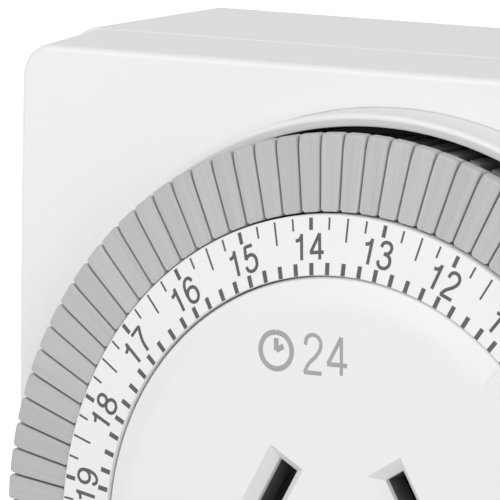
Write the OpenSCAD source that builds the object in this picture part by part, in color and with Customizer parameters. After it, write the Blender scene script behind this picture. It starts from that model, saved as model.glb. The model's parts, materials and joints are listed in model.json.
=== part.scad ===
// Plug-in timer switch: a 24 hour dial with push-in tappets turns round a socket outlet,
// and plug pins at the back carry the housing on a wall outlet.
//
// Every module draws its piece as seen from the front: x to the right, y up, and z out
// from the wall. stand_up() then turns it, so that the finished part has +Z up, faces -Y,
// and has its origin on the dial's axis in the plane of the wall.

/* [Housing] */
// Width of the front face across the middle of its sides
body_w = 76.3; // [76:0.1:80]
// Height of the front face
body_h = 76.9; // [76.4:0.1:82]
// Height of the front face above the wall
front_z = 28.9; // [28.4:0.1:33]
// Height of the line where the two shells part
parting_z = 20.8; // [20.2:0.1:22.5]
// How far the front shell widens on each side from its face to the parting line
draft = 0.6; // [0.3:0.05:0.8]
// How far the rear shell stands proud of the front shell
shell_step = 0.1; // [0.05:0.05:0.4]
// Thickness of the moulded walls
wall = 2; // [1.6:0.1:2.2]
// Radius of the front face's corners
corner_r = 2.8; // [2.4:0.1:4]
// How far the left and right sides bulge at their middles
crown = 0.4; // [0.2:0.1:0.6]
// Radius of the front shell's edge
front_edge_r = 1.1; // [0.6:0.1:1.4]
// Radius of the rear shell's back edge
back_edge_r = 1.8; // [1:0.1:2]
// Height of the bead round the dial well
bead_h = 3.6; // [2.6:0.05:4]

/* [Dial] */
// Number of tappets in each hour
tappets_per_hour = 4; // [2:1:5]
// Radius at the outer ends of the tappets
dial_r = 34.15; // [33.6:0.05:34.3]
// Radius at the inner ends of the tappets
tappet_inner_r = 27.85; // [27.5:0.05:28.4]
// Radius of the socket face
face_r = 22.7; // [22:0.1:23.5]
// Height of the tappets' tops above the front face
dial_rise = 8.15; // [7.6:0.05:9]
// Height of a tappet's head
tappet_h = 6; // [5:0.1:6.4]
// How far a tappet pushes in
travel = 3; // [2.4:0.1:3.2]
// Gap between neighbouring tappets
tappet_gap = 0.16; // [0.1:0.01:0.25]
// Turn of the dial, as the angle of the 14 hour mark
dial_turn = 97.3; // [96:0.1:98.5]

/* [Socket and plug] */
// Distance from the centre to the active and neutral pins
pin_pcd_r = 7.92; // [7.7:0.01:8.2]
// Distance from the centre to the earth pin
earth_r = 10.31; // [10:0.01:10.8]
// Width of a pin's blade
pin_w = 6.35; // [5.8:0.05:6.6]
// Thickness of a pin's blade
pin_t = 1.63; // [1.4:0.01:1.8]
// Length of the active and neutral pins beyond the wall
pin_len = 17.1; // [15:0.1:19]
// Length of the earth pin beyond the wall
earth_len = 20; // [19.2:0.1:22]
// Height of the socket face above the tappets' tops
face_rise = 1.7; // [1.5:0.05:2.2]

/* [Drive] */
// Teeth of the dial's ring gear
ring_teeth = 60; // [58:1:62]
// Teeth of the drive pinion
drive_teeth = 10; // [9:1:11]
// Module of the ring gear and drive pinion
ring_module = 0.8; // [0.78:0.01:0.81]
// Teeth of the reduction wheel
wheel_teeth = 36; // [32:1:38]
// Teeth of the motor pinion
motor_teeth = 9; // [9:1:10]
// Module of the reduction wheel and motor pinion
wheel_module = 0.5; // [0.45:0.01:0.52]
// Radius of the motor can
motor_r = 13.2; // [12.6:0.1:13.6]
// Height of the motor can
motor_h = 10.6; // [9:0.1:11]

/* [Switch] */
// Thickness of the follower lever's arm
lever_t = 1.8; // [1.4:0.1:2]
// Distance from the follower's pivot to its nose
lever_len = 16; // [14.5:0.1:17]
// Thickness of the switch leaf
leaf_t = 0.3; // [0.2:0.05:0.4]
// How far the override slide moves
override_travel = 5; // [4:0.1:5.4]

/* [Hidden] */
$fn = 96;

// Clearances
fit_gap = 0.15;    // between moulded pieces that plug together
run_gap = 0.05;    // round shafts that turn
slide_gap = 0.2;   // beside pieces that slide
lip_gap = 0.25;    // between the tappets' tips and the dial well
free_gap = 0.4;    // between pieces that pass each other
contact_gap = 0.15; // left between the switch contacts when they have closed
tail_gap = 0.1;    // round a tappet's tail in the carrier's slot
end_gap = 0.1;     // at the end of the rotor's shaft

// The dial, from its top down
hours = 24;
tappet_count = hours * tappets_per_hour;
pitch = 360 / tappet_count;
dial_z = front_z + dial_rise;            // tops of the tappets at their inner ends
head_z = dial_z - tappet_h;              // underside of a tappet's head
flange_z = head_z - travel - fit_gap * 2;  // top of the slotted flange
flange_t = 1.6;
flange_r = dial_r - slide_gap;
tail_t = 1;
tail_in_r = tappet_inner_r + 0.95;
tail_out_r = dial_r - 1;
tail_z = flange_z - flange_t - slide_gap; // end of a tappet's tail, pulled out
tail_low_z = tail_z - travel;            // the same, pushed in
drum_r = tappet_inner_r - fit_gap;       // wall that the tappets slide on
tip_round = 0.55;                        // radius of a tappet's outer corners, seen from the front
heel = 0.2;                              // chamfer of its inner corners
tip_fall = 0.85;                         // how far its top falls towards the tip
nose_fall = 1.75;                        // how far below the top the tip reaches furthest out
undercut = 1.35;                         // how far the tip is cut back at the underside
ring_top_z = dial_z + 0.48;              // top of the number ring beside the tappets
ring_rise = 0.68;                        // its rise from there towards the centre
ring_low_z = dial_z - 1.2;
step_r = face_r + 0.25;                  // number ring's step beside the socket face
drum_t = 1.2;                            // wall of the carrier's drum
carrier_foot = 2.2;                      // wall of the carrier below its flange
gear_top_z = tail_low_z - free_gap;
gear_t = 3;
gear_z = gear_top_z - gear_t;
chassis_top_z = gear_z - free_gap;
chassis_t = 2;
chassis_z = chassis_top_z - chassis_t;

// The hub and the socket face
hub_r = face_r - 2.4;
hub_wall = 1.8;
hub_in_r = hub_r - hub_wall;
bore_r = hub_r + run_gap;
rim_z = ring_low_z + 0.85;               // underside of the socket face, top of the hub
plateau_z = dial_z + face_rise;
plateau_r = face_r - 2.2;
bevel_h = 0.85;
skirt_len = 2.5;
skirt_t = 1.2;
face_t = 1.6;                            // thickness of the face below its rim
face_ease = 0.3;                         // rounding of its edges
carrier_z = rim_z - skirt_len - slide_gap; // top of the contact carrier
tab_from = 13;                           // pointer tab on the socket face
tab_to = 47;

// The two shells
lip_r = dial_r + lip_gap;
bead_t = 1.35;
bead_round = 0.35;
bead_fall = 0.35;                        // fall of the bead's top towards the dial
bead_foot = 0.15;                        // fillet at the bead's foot
well_t = 1.5;
well_z = flange_z - 3;
back_t = 2.2;
boss_r = 3.6;
screw_r = 1.4;
head_r = 2.7;
head_h = 1.8;
recess_z = 8;
tongue_len = 1.4;
tongue_t = 1.2;
post_r = 2.2;                            // post under the fixed contact
cradle_t = 1.2;                          // wall round the motor
cross_w = 0.7;                           // cross in a screw's head
cross_len = 3.2;
rear_w = body_w + 2 * (draft + shell_step);
rear_h = body_h + 2 * (draft + shell_step);
rim_r = 0.35;                            // rounding of the rear shell's rim
boss_bite = 0.3;                         // how far the screw bosses run into the walls
screw_x = rear_w / 2 - crown - wall - boss_r + boss_bite;
screw_y = rear_h / 2 - wall - boss_r + boss_bite;

// The plug pins and what they feed; each place is [x, y, turn]
pin_x = pin_pcd_r * cos(30);
pin_y = pin_pcd_r * sin(30);
active_at = [-pin_x, pin_y, -30];
neutral_at = [pin_x, pin_y, 30];
earth_at = [0, -earth_r, 0];
pin_in_z = 7.4;                          // inner ends of the pins
pad_z = 5.6;                             // top of the block that holds the pins
pad_r = earth_r + pin_w / 2 + 2;
sleeve_len = 9;
neck_w = pin_w - 1;
neck_t = pin_t - 0.8;
slot_w = pin_w + 0.75;
slot_t = pin_t + 0.32;
funnel = 0.85;                           // how far a slot's mouth widens on each side
funnel_depth = 0.95;
pocket_w = pin_w + 1.2;
pocket_t = 4.8;
spring_t = 0.5;
spring_w = pin_w - 0.35;
spring_out = pocket_t / 2 - free_gap;    // half the width across the arms' roots
spring_grip = pin_t / 2 - slide_gap;     // half the gap where the arms grip
spring_lead = 2.5;                       // length of their flared ends
spring_z = chassis_top_z + 0.9;          // bottom of the socket contacts
spring_top_z = carrier_z - 0.6;
strap_t = 0.6;
strap_w = 5;

// The gears
pressure = 25;
addendum = 0.8;
dedendum = 1.15;
backlash = 0.12;
gear_turn = -45;                         // where the reduction gear lies round the dial
ring_pitch_r = ring_module * ring_teeth / 2;
drive_pitch_r = ring_module * drive_teeth / 2;
wheel_pitch_r = wheel_module * wheel_teeth / 2;
motor_pitch_r = wheel_module * motor_teeth / 2;
drive_at = (ring_pitch_r + drive_pitch_r) * [cos(gear_turn), sin(gear_turn)];
mesh_turn = -80;                         // from the reduction gear to the motor pinion
motor_pinion_at = drive_at + (wheel_pitch_r + motor_pitch_r) * [cos(mesh_turn), sin(mesh_turn)];
wheel_t = 1.6;
wheel_top_z = chassis_z - free_gap;
wheel_z = wheel_top_z - wheel_t;
arbor_r = 0.9;
drive_tip_r = drive_pitch_r + addendum * ring_module;
motor_top_z = wheel_z - free_gap;
motor_z = motor_top_z - motor_h;
motor_off = (motor_r + boss_r + 0.3) * sin(45);
motor_at = [screw_x - motor_off, motor_off - screw_y];
plate_t = 0.8;
can_t = 0.6;
ear_r = 2.2;
ear_places = [for (a = [60, 150, 235]) motor_at + (motor_r + ear_r) * [cos(a), sin(a)]];
ear_screw_r = 0.8;
shaft_r = 0.8;
cup_t = 1.2;                             // bearing of the rotor: wall, floor and height
cup_floor = 0.2;
cup_h = 1;
rotor_r = 8;
coil_top_z = motor_top_z - plate_t - 3;
lead_r = 0.5;

// The switch, on the side away from the motor
nose_turn = dial_turn + 5.5 * 360 / hours - pitch / 2; // middle of one hour's tappets
nose_r = (tail_in_r + tail_out_r) / 2;
nose_at = nose_r * [cos(nose_turn), sin(nose_turn)];
nose_tip_r = 1;
nose_z = tail_z - 0.3;
lever_w = tail_out_r - tail_in_r - 0.6;
pivot_y = nose_at[1] - lever_len;
pivot_z = (chassis_top_z + tail_low_z) / 2;
pivot_r = 0.8;
lever_angle = asin(travel / lever_len);
foot_y = nose_at[1] - 4;
leaf_z = chassis_z - 2;                  // top of the switch leaf
terminal_z = leaf_z + 0.1;               // underside of the terminal above its root
ear_t = 1;
ear_len = 4;
leaf_w = 4;
leaf_root_y = pivot_y - 0.5;
leaf_end_y = nose_at[1] + 6;
terminal_len = 6;
terminal_y = leaf_root_y + 1 - terminal_len;
foot_r = 0.8;                            // rounding of the follower's foot
foot_z = leaf_z + fit_gap;
foot_drop = (foot_y - pivot_y) * sin(lever_angle) + (pivot_z - foot_z) * (cos(lever_angle) - 1);
foot_y_in = pivot_y + (foot_y - pivot_y) * cos(lever_angle) - (pivot_z - foot_z) * sin(lever_angle);
leaf_angle = asin(foot_drop / (foot_y_in - leaf_root_y));
button_r = 1.4;
button_h = 0.8;
button_y = leaf_end_y - button_r - 0.2;
closed_z = leaf_z - leaf_t - button_h - (button_y + button_r - leaf_root_y) * sin(leaf_angle);
fixed_z = closed_z - contact_gap;        // top of the fixed contact
knob_z = 11;
knob_w = 3.6;
knob_len = 5;
knob_rise = 2.2;
knob_y = button_y + 3.2 + override_travel + knob_len / 2;
knob_cover = 1.4;                        // how far its plates cover the window's edges
knob_plate = 1.2;                        // thickness of the plate and stem inside
finger_len = 5;
finger_t = 1.1;
rib_w = 0.8;
rib_h = 0.7;
rib_pitch = 1.7;

// ---------- shared forms ----------

// A point beside a pin, off its middle by x across the blade
function beside(place, x) = [place[0] + x * cos(place[2]), place[1] + x * sin(place[2])];

// Turns a piece from the way it is drawn to the way it stands
module stand_up() { rotate([90, 0, 0]) children(); }

// Moves and turns a piece to one of the pin places
module at_pin(place) { translate([place[0], place[1], 0]) rotate(place[2]) children(); }

module at_corners(x, y) { for (sx = [-1, 1], sy = [-1, 1]) translate([sx * x, sy * y, 0]) children(); }

module bar(size, z) {
    translate([0, 0, z]) linear_extrude(size[2]) square([size[0], size[1]], center = true);
}

// Outline of a rectangle with round corners, whose left and right sides bulge at their middles
function case_outline(w, h, r, bulge) =
    let(
        x = w / 2 - bulge - r, y = h / 2 - r, lean = atan(2 * bulge / y),
        side = [for (i = [-4 : 4]) let(t = i / 4) [w / 2 - bulge * t * t, t * y]],
        corner = [for (i = [1 : 8]) let(a = lean + (90 - lean) * i / 8) [x + r * cos(a), y + r * sin(a)]],
        back = [for (i = [7 : -1 : 0]) corner[i]]
    )
    concat(
        side, corner, [for (p = back) [-p[0], p[1]]],
        [for (p = side) -p], [for (p = corner) -p], [for (p = back) [p[0], -p[1]]]
    );

// A case outline, pulled in by inset all round
module case_shape(w, h, inset = 0) {
    polygon(case_outline(w - 2 * inset, h - 2 * inset, max(0.5, corner_r - inset), crown));
}

// A closed block on that outline, with its back and front edges rounded, whose sides may widen
// towards the back: a hull of slices
module case_block(w, h, low, high, low_r, high_r, widen = 0) {
    slice = 0.05;
    straight = high - high_r - low - low_r;
    hull() {
        translate([0, 0, low + low_r]) linear_extrude(widen > 0 ? slice : straight) case_shape(w, h, -widen);
        if (widen > 0) translate([0, 0, high - high_r - slice]) linear_extrude(slice) case_shape(w, h);
        for (a = [30 : 30 : 90]) {
            if (high_r > 0) translate([0, 0, high - high_r * (1 - sin(a)) - slice])
                linear_extrude(slice) case_shape(w, h, high_r * (1 - cos(a)));
            if (low_r > 0) translate([0, 0, low + low_r * (1 - sin(a))])
                linear_extrude(slice) case_shape(w, h, low_r * (1 - cos(a)) - widen);
        }
    }
}

// Unwinding of an involute at radius r, in degrees, from its base circle
function unwinding(base, r) = let(a = acos(min(1, base / r))) tan(a) * 180 / PI - a;

// Outline of a spur gear with one tooth pointing along x
function gear_outline(module_size, teeth) =
    let(
        p = module_size * teeth / 2, base = p * cos(pressure),
        tip = p + addendum * module_size, root = p - dedendum * module_size,
        half = 90 / teeth - backlash / 4 / p * 180 / PI + unwinding(base, p),
        from = max(base, root), flank = [for (i = [0 : 4]) from + (tip - from) * i / 4],
        turns = [for (r = flank) half - unwinding(base, r)]
    )
    [for (t = [0 : teeth - 1]) let(a = 360 * t / teeth) each concat(
        [root * [cos(a - turns[0]), sin(a - turns[0])]],
        [for (i = [0 : 4]) flank[i] * [cos(a - turns[i]), sin(a - turns[i])]],
        [for (i = [4 : -1 : 0]) flank[i] * [cos(a + turns[i]), sin(a + turns[i])]],
        [root * [cos(a + turns[0]), sin(a + turns[0])]])];

// A flat strip between two points, with round ends
module strip(from, to, width, z, thick) {
    run = to - from;
    end = [norm(run), 0];
    translate([from[0], from[1], z]) rotate(atan2(run[1], run[0])) linear_extrude(thick) polygon(concat(
        [for (a = [90 : 15 : 270]) width / 2 * [cos(a), sin(a)]],
        [for (a = [-90 : 15 : 90]) end + width / 2 * [cos(a), sin(a)]]));
}

// ---------- housing ----------

module rear_housing() {
    color("white") stand_up() difference() {
        union() {
            difference() {
                case_block(rear_w, rear_h, 0, parting_z, back_edge_r, rim_r);
                translate([0, 0, back_t]) linear_extrude(parting_z) case_shape(rear_w, rear_h, wall);
            }
            translate([0, 0, back_t]) {
                at_corners(screw_x, screw_y) cylinder(r = boss_r, h = chassis_z - back_t);
                cylinder(r = pad_r, h = pad_z - back_t);
                translate([nose_at[0], button_y, 0]) cylinder(r = post_r, h = pin_in_z - back_t);
                translate([motor_at[0], motor_at[1], 0]) difference() {
                    cylinder(r = motor_r + fit_gap + cradle_t, h = motor_z + cradle_t - back_t);
                    translate([0, 0, -1]) cylinder(r = motor_r + fit_gap, h = motor_z);
                }
            }
        }
        for (p = [active_at, neutral_at, earth_at]) at_pin(p)
            bar([pin_t, pin_w, pad_z + 2], -1);
        at_corners(screw_x, screw_y) {
            translate([0, 0, -1]) cylinder(r = screw_r + fit_gap, h = chassis_z + 2);
            translate([0, 0, -1]) cylinder(r = head_r + fit_gap, h = recess_z + 1);
        }
        // window for the override slide
        translate([-rear_w / 2 - 1, knob_y - override_travel - knob_len / 2, knob_z - knob_w / 2])
            translate([0, -slide_gap, -slide_gap])
                cube([wall + 2, knob_len + override_travel + 2 * slide_gap, knob_w + 2 * slide_gap]);
    }
}

module front_housing() {
    color("white") stand_up() difference() {
        union() {
            difference() {
                case_block(body_w, body_h, parting_z, front_z, 0, front_edge_r, draft);
                translate([0, 0, parting_z - 1]) linear_extrude(front_z - wall - parting_z + 1)
                    case_shape(body_w, body_h, wall);
            }
            // tongue that plugs into the rear shell
            translate([0, 0, parting_z - tongue_len]) linear_extrude(tongue_len + 1) difference() {
                case_shape(rear_w, rear_h, wall + fit_gap);
                case_shape(rear_w, rear_h, wall + fit_gap + tongue_t);
            }
            at_corners(screw_x, screw_y)
                translate([0, 0, chassis_top_z])
                    cylinder(r = boss_r - 0.6, h = front_z - wall / 2 - chassis_top_z);
            intersection() {
                translate([0, 0, well_z]) cylinder(r = lip_r + well_t, h = front_z - well_z - 0.5);
                translate([0, 0, well_z]) linear_extrude(front_z) case_shape(body_w, body_h, wall / 2);
            }
            bead();
        }
        translate([0, 0, well_z - 1]) cylinder(r = lip_r, h = dial_z);
        at_corners(screw_x, screw_y)
            translate([0, 0, chassis_top_z - 1]) cylinder(r = screw_r, h = front_z - wall - chassis_top_z);
    }
}

// The raised bead round the dial well: its top falls towards the dial
module bead() {
    foot_r = lip_r + bead_t;
    crest_r = foot_r - bead_foot - bead_round;
    top = front_z + bead_h;
    rotate_extrude() polygon(concat(
        [[lip_r, front_z - 1], [foot_r + 2 * bead_foot, front_z - 1], [foot_r + 2 * bead_foot, front_z],
         [foot_r + bead_foot / 2, front_z + bead_foot / 2], [foot_r, front_z + 2 * bead_foot]],
        [for (a = [0 : 22.5 : 90]) [crest_r + bead_round * cos(a), top - bead_round + bead_round * sin(a)]],
        [[lip_r + bead_foot, top - bead_fall], [lip_r, top - bead_fall - bead_foot]]));
}

module chassis() {
    color("gainsboro") stand_up() difference() {
        union() {
            translate([0, 0, chassis_z]) linear_extrude(chassis_t)
                case_shape(rear_w, rear_h, wall + slide_gap);
            translate([0, 0, chassis_z]) cylinder(r = hub_r, h = rim_z - chassis_z);
            for (p = ear_places) translate([p[0], p[1], motor_top_z])
                cylinder(r = ear_r, h = chassis_z - motor_top_z);
            // block that the leaf's terminal is fixed to
            translate([nose_at[0] - leaf_w / 2, terminal_y, terminal_z + strap_t])
                cube([leaf_w, terminal_len, chassis_z - terminal_z - strap_t]);
            for (x = [-1, 1]) translate([nose_at[0] + x * (lever_w + ear_t + 2 * fit_gap) / 2, pivot_y, 0]) {
                translate([-ear_t / 2, -ear_len / 2, chassis_top_z])
                    cube([ear_t, ear_len, pivot_z - chassis_top_z]);
                translate([0, 0, pivot_z]) rotate([0, 90, 0])
                    cylinder(r = pivot_r + 0.6, h = ear_t, center = true);
            }
        }
        translate([0, 0, chassis_top_z]) cylinder(r = hub_in_r, h = dial_z);
        for (p = [active_at, neutral_at, earth_at]) at_pin(p)
            bar([pocket_t, pocket_w, dial_z], chassis_z - 1);
        at_corners(screw_x, screw_y)
            translate([0, 0, chassis_z - 1]) cylinder(r = screw_r + fit_gap, h = chassis_t + 2);
        for (p = ear_places) translate([p[0], p[1], motor_top_z - 1])
            cylinder(r = ear_screw_r, h = chassis_z - motor_top_z + 1);
        translate([drive_at[0], drive_at[1], chassis_z - 1])
            cylinder(r = drive_tip_r + free_gap, h = chassis_t + 2);
        // window for the follower
        translate([nose_at[0] - lever_w / 2 - free_gap, pivot_y + ear_len / 2 + slide_gap, chassis_z - 1])
            cube([lever_w + 2 * free_gap, lever_len + 2, chassis_t + 2]);
        // bore of the follower's pin
        translate([nose_at[0], pivot_y, pivot_z]) rotate([0, 90, 0])
            cylinder(r = pivot_r, h = lever_w + 4 * ear_t, center = true);
    }
}

module socket_face() {
    skirt_r = hub_in_r - fit_gap;
    edge_z = plateau_z - bevel_h;
    color("white") stand_up() difference() {
        union() {
            rotate_extrude() polygon([
                [0, rim_z - face_t], [skirt_r - skirt_t, rim_z - face_t],
                [skirt_r - skirt_t, rim_z - skirt_len], [skirt_r, rim_z - skirt_len],
                [skirt_r, rim_z], [face_r, rim_z], [face_r, edge_z - face_ease],
                [face_r - 0.3 * face_ease, edge_z - 0.3 * face_ease], [face_r - face_ease, edge_z],
                [plateau_r + face_ease, plateau_z - face_ease / 4], [plateau_r, plateau_z], [0, plateau_z]]);
            rotate_extrude(angle = tab_to - tab_from, start = tab_from) polygon([
                [plateau_r - 1, rim_z + face_ease], [face_r, rim_z + face_ease],
                [face_r, plateau_z - face_ease], [face_r - face_ease, plateau_z],
                [plateau_r - 1, plateau_z]]);
        }
        for (p = [active_at, neutral_at, earth_at]) at_pin(p) {
            bar([slot_t, slot_w, plateau_z], rim_z - 3);
            hull() {
                bar([slot_t, slot_w, 0.01], plateau_z - funnel_depth);
                bar([slot_t + 2 * funnel, slot_w + 2 * funnel, 0.01], plateau_z);
            }
        }
    }
}

module contact_carrier() {
    color("dimgray") stand_up() difference() {
        translate([0, 0, chassis_top_z]) cylinder(r = hub_in_r - fit_gap, h = carrier_z - chassis_top_z);
        for (p = [active_at, neutral_at, earth_at]) at_pin(p) bar([pocket_t, pocket_w, dial_z], chassis_z);
    }
}

// ---------- plug pins, straps and contacts ----------

// A blade that runs from inside the housing to its tapered tip, necked where a sleeve covers it
module blade(length, neck) {
    tip = 1.6;
    bar([pin_t, pin_w, pin_in_z], 0);
    if (neck > 0) bar([neck_t, neck_w, neck], -neck);
    difference() {
        bar([pin_t, pin_w, length - neck], -length);
        for (s = [-1, 1]) {
            translate([s * pin_t / 2, 0, -length]) rotate([0, -s * 20, 0]) translate([s * pin_t, 0, 0])
                cube([2 * pin_t, 2 * pin_w, 2 * tip], center = true);
            translate([0, s * pin_w / 2, -length]) rotate([s * 45, 0, 0])
                cube([pin_w, tip, tip], center = true);
        }
    }
}

module active_pin() { color("goldenrod") stand_up() at_pin(active_at) blade(pin_len, sleeve_len); }

module neutral_pin() { color("goldenrod") stand_up() at_pin(neutral_at) blade(pin_len, sleeve_len); }

module earth_pin() { color("goldenrod") stand_up() at_pin(earth_at) blade(earth_len, 0); }

module pin_sleeves() {
    color("darkslategray") stand_up() for (p = [active_at, neutral_at]) at_pin(p) difference() {
        bar([pin_t, pin_w, sleeve_len], -sleeve_len);
        bar([neck_t, neck_w, sleeve_len + 2], -sleeve_len - 1);
    }
}

// A pair of spring arms on a base, which grip the blade of a plug
module socket_contact() {
    top = spring_top_z;
    mid = spring_z + (top - spring_z) / 4;
    end = spring_out - end_gap;
    bar([2 * spring_out, spring_w, spring_t], spring_z);
    for (s = [0, 1]) mirror([s, 0, 0]) translate([0, spring_w / 2, 0]) rotate([90, 0, 0])
        linear_extrude(spring_w) polygon([
            [spring_out, spring_z], [spring_out, mid], [spring_grip + spring_t, top - spring_lead],
            [end, top], [end - spring_t, top], [spring_grip, top - spring_lead],
            [spring_out - spring_t, mid], [spring_out - spring_t, spring_z]]);
}

// A strap from beside a pin up to the base of a socket contact
module riser(from_z) {
    translate([(pin_t + strap_t) / 2, 0, 0]) bar([strap_t, strap_w, spring_z - from_z], from_z);
}

module active_contact() { color("peru") stand_up() at_pin(active_at) socket_contact(); }

module neutral_contact() { color("peru") stand_up() at_pin(neutral_at) socket_contact(); }

module earth_contact() { color("peru") stand_up() at_pin(earth_at) socket_contact(); }

module neutral_strap() { color("goldenrod") stand_up() at_pin(neutral_at) riser(pad_z + slide_gap); }

module earth_strap() { color("goldenrod") stand_up() at_pin(earth_at) riser(pad_z + slide_gap); }

module active_strap() {
    color("goldenrod") stand_up()
        strip([active_at[0], active_at[1]], [nose_at[0], button_y], strap_w, pin_in_z, strap_t);
}

module load_strap() {
    start = [nose_at[0] + leaf_w / 2 + strap_w / 2, terminal_y + terminal_len / 2];
    color("goldenrod") stand_up() {
        strip(start, beside(active_at, (pin_t + strap_t) / 2), strap_w * 0.7, terminal_z, strap_t);
        translate([start[0] - strap_w / 4, start[1], 0])
            bar([strap_w / 2, terminal_len / 2, strap_t], terminal_z);
        at_pin(active_at) riser(terminal_z);
    }
}

// ---------- switch ----------

module fixed_contact() {
    z = pin_in_z + strap_t;
    color("silver") stand_up() translate([nose_at[0], button_y, z]) cylinder(r = button_r, h = fixed_z - z);
}

module leaf_terminal() {
    color("goldenrod") stand_up() translate([nose_at[0] - leaf_w / 2, terminal_y, terminal_z])
        cube([leaf_w, terminal_len, strap_t]);
}

module switch_leaf() {
    color("peru") stand_up() translate([nose_at[0] - leaf_w / 2, leaf_root_y, leaf_z - leaf_t])
        cube([leaf_w, leaf_end_y - leaf_root_y, leaf_t]);
}

module moving_contact() {
    color("silver") stand_up() translate([nose_at[0], button_y, leaf_z - leaf_t - button_h])
        cylinder(r = button_r, h = button_h);
}

// A lever that lies under the tappets' tails: its nose meets a pushed tail, its foot bends the leaf
module follower_lever() {
    low = pivot_z - lever_t / 2;
    color("ivory") stand_up() difference() {
        translate([nose_at[0] - lever_w / 2, 0, 0]) rotate([90, 0, 90]) linear_extrude(lever_w) {
            translate([pivot_y, pivot_z]) circle(r = lever_t / 2 + 0.5);
            translate([pivot_y, low]) square([lever_len + nose_tip_r, lever_t]);
            translate([nose_at[1] - nose_tip_r, low]) square([2 * nose_tip_r, nose_z - nose_tip_r - low]);
            translate([nose_at[1], nose_z - nose_tip_r]) circle(r = nose_tip_r);
            translate([foot_y - foot_r, foot_z + foot_r]) square([2 * foot_r, low - foot_z]);
            translate([foot_y, foot_z + foot_r]) circle(r = foot_r);
        }
        translate([nose_at[0], pivot_y, pivot_z]) rotate([0, 90, 0])
            cylinder(r = pivot_r + run_gap, h = lever_w + 2, center = true);
    }
}

module follower_pin() {
    color("silver") stand_up() translate([nose_at[0], pivot_y, pivot_z]) rotate([0, 90, 0])
        cylinder(r = pivot_r, h = lever_w + 2 * (ear_t + fit_gap), center = true);
}

// A ribbed button outside the rear shell, on a stem with a cover plate and a finger inside
module override_slide() {
    out_x = rear_w / 2 + knob_rise;
    in_x = rear_w / 2 - crown - wall - slide_gap;
    cap_x = rear_w / 2 + fit_gap;
    finger_z = leaf_z + free_gap - knob_z;
    color("firebrick") stand_up() mirror([1, 0, 0]) translate([0, knob_y, knob_z]) {
        translate([in_x - 1, -knob_len / 2, -knob_w / 2]) cube([out_x - in_x, knob_len, knob_w]);
        translate([in_x - knob_plate, -knob_len / 2 - override_travel, -knob_w / 2 - knob_cover])
            cube([knob_plate, knob_len + 2 * override_travel, knob_w + 2 * knob_cover]);
        translate([in_x - finger_len, -knob_len / 2, finger_z]) cube([finger_len, knob_len, finger_t]);
        translate([in_x - knob_plate, -knob_len / 2, 0]) cube([knob_plate, knob_len, finger_z + finger_t]);
        translate([cap_x, -knob_len / 2 - knob_cover, -knob_w / 2 - knob_cover])
            cube([out_x - cap_x - rib_h, knob_len + 2 * knob_cover, knob_w + 2 * knob_cover]);
        for (i = [-2 : 2]) translate([out_x - rib_h, i * rib_pitch - rib_w / 2, -knob_w / 2 - knob_cover])
            cube([rib_h, rib_w, knob_w + 2 * knob_cover]);
    }
}

// ---------- drive ----------

module motor_can() {
    color("silver") stand_up() translate([motor_at[0], motor_at[1], 0]) {
        difference() {
            translate([0, 0, motor_z]) cylinder(r = motor_r, h = motor_h - plate_t);
            translate([0, 0, motor_z + can_t]) cylinder(r = motor_r - can_t, h = motor_h);
        }
        translate([0, 0, motor_z + can_t]) difference() {
            cylinder(r = shaft_r + cup_t, h = cup_h);
            translate([0, 0, cup_floor]) cylinder(r = shaft_r + run_gap, h = 2 * cup_h);
        }
    }
}

module motor_coil() {
    color("chocolate") stand_up() translate([motor_at[0], motor_at[1], motor_z + can_t]) difference() {
        cylinder(r = motor_r - can_t - fit_gap, h = coil_top_z - motor_z - can_t);
        translate([0, 0, -1]) cylinder(r = rotor_r + free_gap, h = motor_h);
    }
}

module motor_rotor() {
    shaft_z = motor_z + can_t + cup_floor + end_gap;
    color("dimgray") stand_up() translate([motor_at[0], motor_at[1], 0]) {
        translate([0, 0, shaft_z]) cylinder(r = shaft_r, h = coil_top_z + 1 - shaft_z);
        translate([0, 0, shaft_z + cup_h]) cylinder(r = rotor_r, h = coil_top_z - shaft_z - cup_h - end_gap);
    }
}

module motor_plate() {
    color("silver") stand_up() difference() {
        translate([0, 0, motor_top_z - plate_t]) {
            translate([motor_at[0], motor_at[1], 0]) cylinder(r = motor_r, h = plate_t);
            for (p = ear_places) strip(motor_at, p, 2 * ear_r, 0, plate_t);
        }
        for (p = ear_places) translate([p[0], p[1], 0]) cylinder(r = ear_screw_r + fit_gap, h = dial_z);
        translate([motor_pinion_at[0], motor_pinion_at[1], 0]) cylinder(r = shaft_r + run_gap, h = dial_z);
        translate([drive_at[0], drive_at[1], 0]) cylinder(r = arbor_r, h = dial_z);
    }
}

module motor_screws() {
    color("silver") stand_up() for (p = ear_places) translate([p[0], p[1], motor_top_z - plate_t]) {
        translate([0, 0, -1]) cylinder(r = ear_screw_r * 2, h = 1);
        cylinder(r = ear_screw_r, h = chassis_z - motor_top_z + plate_t - free_gap);
    }
}

module motor_pinion() {
    color("goldenrod") stand_up() translate([motor_pinion_at[0], motor_pinion_at[1], 0]) {
        // turned so that a gap faces the wheel
        rotate(mesh_turn + 180 + 180 / motor_teeth)
            translate([0, 0, wheel_z]) linear_extrude(wheel_t)
                polygon(gear_outline(wheel_module, motor_teeth));
        translate([0, 0, motor_top_z - 2 * plate_t])
            cylinder(r = shaft_r, h = wheel_top_z - motor_top_z + plate_t);
    }
}

module drive_gear() {
    color("ivory") stand_up() translate([drive_at[0], drive_at[1], 0]) difference() {
        union() {
            rotate(mesh_turn) translate([0, 0, wheel_z]) linear_extrude(wheel_t)
                polygon(gear_outline(wheel_module, wheel_teeth));
            rotate(gear_turn + 180 + 180 / drive_teeth) translate([0, 0, wheel_z + wheel_t / 2])
                linear_extrude(gear_top_z - wheel_z - wheel_t / 2)
                    polygon(gear_outline(ring_module, drive_teeth));
        }
        cylinder(r = arbor_r + run_gap, h = dial_z);
    }
}

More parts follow.
